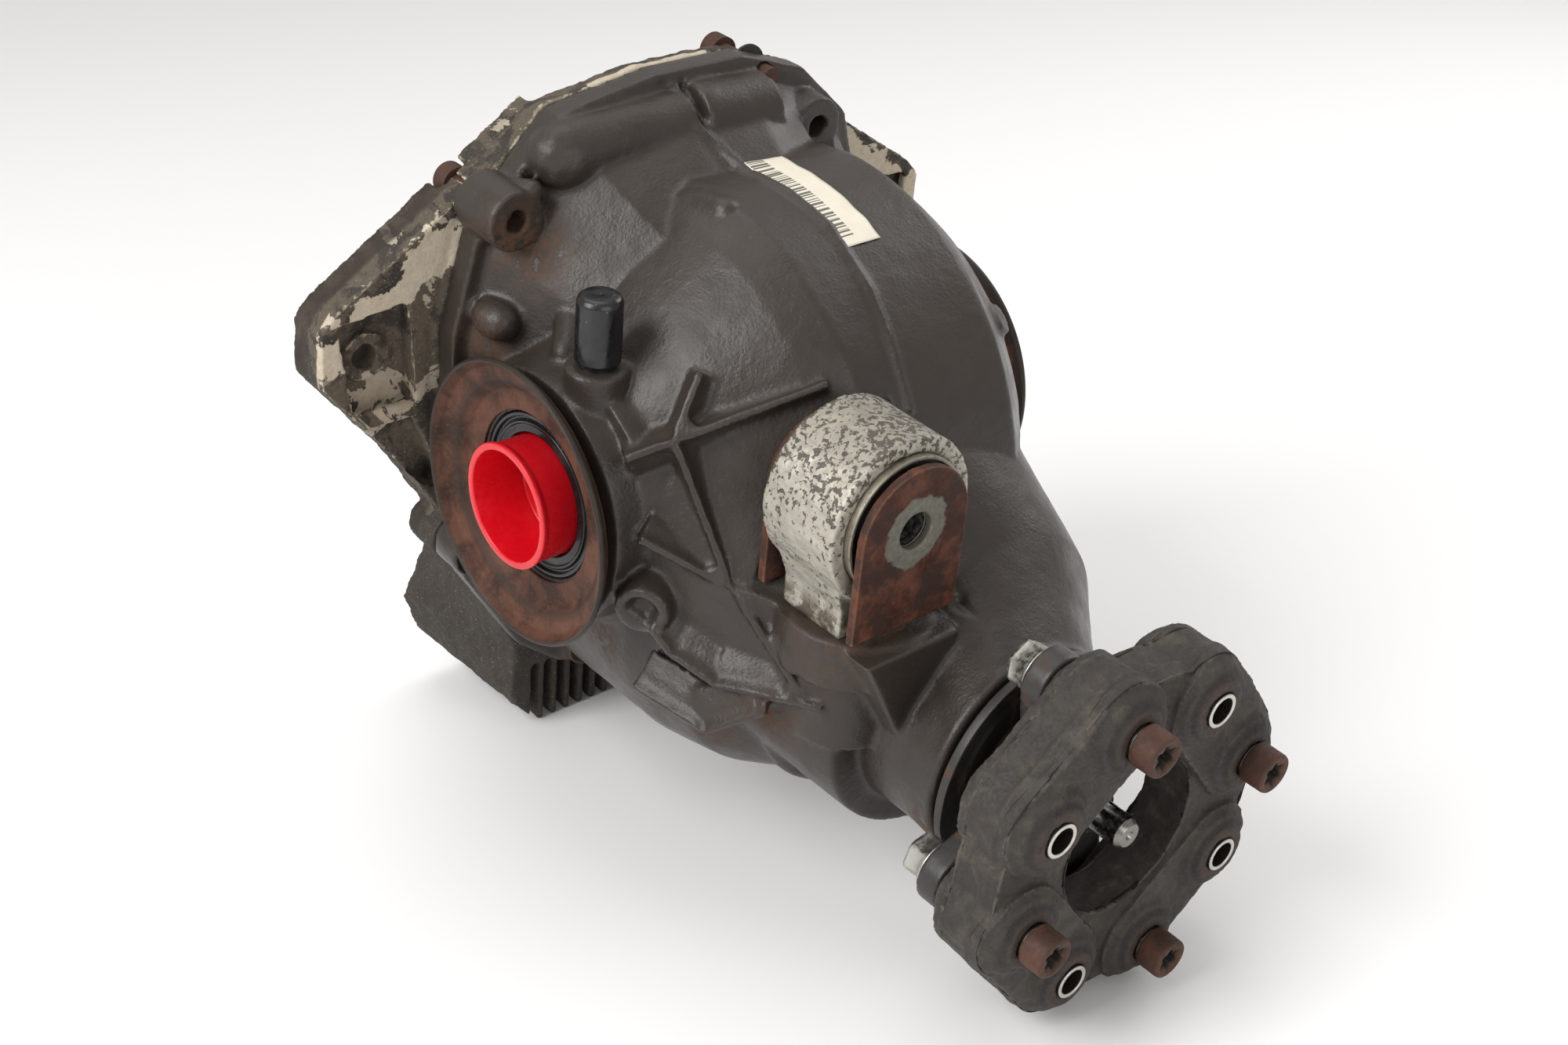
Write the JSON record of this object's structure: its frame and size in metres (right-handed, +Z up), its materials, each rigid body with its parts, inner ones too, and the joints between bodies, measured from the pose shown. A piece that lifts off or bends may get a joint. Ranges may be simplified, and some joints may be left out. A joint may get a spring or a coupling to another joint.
{
  "type": "differential gear assembly",
  "caption": "Rear axle differential with cast carrier, finned rear cover, two shaft outlets, rubber flex disc input and a front support bush.",
  "frame": {"origin": "where the output (crown wheel) axis crosses the housing's mid-plane", "axes": "+X along the output axis towards the crown wheel side, -Y along the pinion towards the flex disc, +Z up"},
  "size_m": [0.298, 0.372, 0.296],
  "materials": {
    "housing_paint": "satin charcoal paint over rough cast iron, rust in the corners",
    "cover_alloy": "weathered casting, dark grey with flaked cream oxide",
    "gasket": "dark joint seal",
    "zinc_bolt": "rusted steel",
    "plug_steel": "dull plated steel",
    "shield_rust": "rust-brown pressed sheet with a dark lip",
    "seal_rubber": "glossy black rubber",
    "plug_red": "bright red moulded plastic",
    "bearing_steel": "ground bearing steel",
    "shim_steel": "plain steel",
    "gear_steel": "oiled case-hardened steel",
    "case_iron": "oiled machined iron casting",
    "pin_steel": "ground steel",
    "crown_bolt_steel": "blackened high-strength steel",
    "flange_steel": "dark painted forging",
    "flange_nut_steel": "plated steel",
    "disc_rubber": "dusty brown-black moulded rubber",
    "sleeve_steel": "bright steel sleeve ends",
    "coupling_bolt_rust": "rusted steel",
    "coupling_nut_zinc": "zinc-plated steel",
    "breather_black": "gloss black moulded cap",
    "label_paper": null,
    "bush_alloy": "corroded aluminium with dark pitting",
    "stud_steel": "plain steel",
    "bush_shell_alloy": "dull aluminium",
    "bush_rubber": "black rubber",
    "bush_sleeve_steel": "worn bare steel",
    "plate_rust": "rusted plate with a bare ring round the bore"
  },
  "bodies": {
    "housing": {"carrier_housing": "housing_paint", "rear_cover": "cover_alloy", "cover_gasket": "gasket", "cover_bolts": "zinc_bolt", "filler_plug": "plug_steel", "drain_plug": "plug_steel", "right_output_shield": "shield_rust", "left_output_shield": "shield_rust", "right_output_seal": "seal_rubber", "left_output_seal": "seal_rubber", "pinion_seal": "seal_rubber", "right_bearing_race": "bearing_steel", "left_bearing_race": "bearing_steel", "pinion_rear_race": "bearing_steel", "pinion_front_race": "bearing_steel", "right_bearing_shim": "shim_steel", "left_bearing_shim": "shim_steel", "breather_cap": "breather_black", "breather_tube": "breather_black", "type_label": "label_paper", "front_bush_bracket": "bush_alloy", "bracket_stud": "stud_steel", "bush_shell": "bush_shell_alloy", "bush_rubber": "bush_rubber"},
    "carrier": {"crown_wheel": "gear_steel", "differential_case": "case_iron", "crown_wheel_bolts": "crown_bolt_steel", "cross_pin": "pin_steel", "right_bearing_cone": "bearing_steel", "left_bearing_cone": "bearing_steel"},
    "pinion": {"pinion_gear": "gear_steel", "pinion_rear_cone": "bearing_steel", "pinion_front_cone": "bearing_steel", "crush_sleeve": "shim_steel", "pinion_flange": "flange_steel", "flange_nut": "flange_nut_steel", "flange_dust_ring": "flange_steel", "centring_pin": "pin_steel", "flex_disc": "disc_rubber", "flex_disc_sleeves": "sleeve_steel", "coupling_bolts": "coupling_bolt_rust", "coupling_nuts": "coupling_nut_zinc"},
    "left_side": {"left_side_gear": "gear_steel"},
    "right_side": {"right_side_gear": "gear_steel"},
    "upper_spider": {"upper_spider_gear": "gear_steel"},
    "lower_spider": {"lower_spider_gear": "gear_steel"},
    "right_plug": {"right_transport_plug": "plug_red"},
    "left_plug": {"left_transport_plug": "plug_red"},
    "bush": {"bush_sleeve": "bush_sleeve_steel", "bush_plate_front": "plate_rust", "bush_plate_rear": "plate_rust"}
  },
  "joints": [
    {"name": "carrier_spin", "type": "hinge", "parent": "housing", "child": "carrier", "pos_m": [0, 0, 0], "axis": [1, 0, 0], "continuous": true},
    {"name": "pinion_spin", "type": "hinge", "parent": "housing", "child": "pinion", "pos_m": [0, 0, -0.0542], "axis": [0, 1, 0], "continuous": true},
    {"name": "left_side_gear_spin", "type": "hinge", "parent": "carrier", "child": "left_side", "pos_m": [0, 0, 0], "axis": [1, 0, 0], "continuous": true},
    {"name": "right_side_gear_spin", "type": "hinge", "parent": "carrier", "child": "right_side", "pos_m": [0, 0, 0], "axis": [1, 0, 0], "continuous": true},
    {"name": "upper_spider_spin", "type": "hinge", "parent": "carrier", "child": "upper_spider", "pos_m": [0, 0, 0.035], "axis": [0, 0, 1], "continuous": true},
    {"name": "lower_spider_spin", "type": "hinge", "parent": "carrier", "child": "lower_spider", "pos_m": [0, 0, -0.035], "axis": [0, 0, 1], "continuous": true},
    {"name": "right_plug_pull", "type": "slide", "parent": "housing", "child": "right_plug", "axis": [-1, 0, 0], "range_m": [0, 0.06]},
    {"name": "left_plug_pull", "type": "slide", "parent": "housing", "child": "left_plug", "axis": [1, 0, 0], "range_m": [0, 0.06]},
    {"name": "bush_twist", "type": "hinge", "parent": "housing", "child": "bush", "pos_m": [-0.038, -0.113, 0.0393], "axis": [0, 1, 0], "range_deg": [-5, 5], "stiffness_Nm_per_rad": 5}
  ],
  "couplings": [
    {"joint": "pinion_spin", "follows": "carrier_spin", "ratio": 3.0714},
    {"joint": "right_side_gear_spin", "follows": "left_side_gear_spin", "ratio": -1},
    {"joint": "upper_spider_spin", "follows": "left_side_gear_spin", "ratio": -1.6},
    {"joint": "lower_spider_spin", "follows": "left_side_gear_spin", "ratio": 1.6}
  ]
}
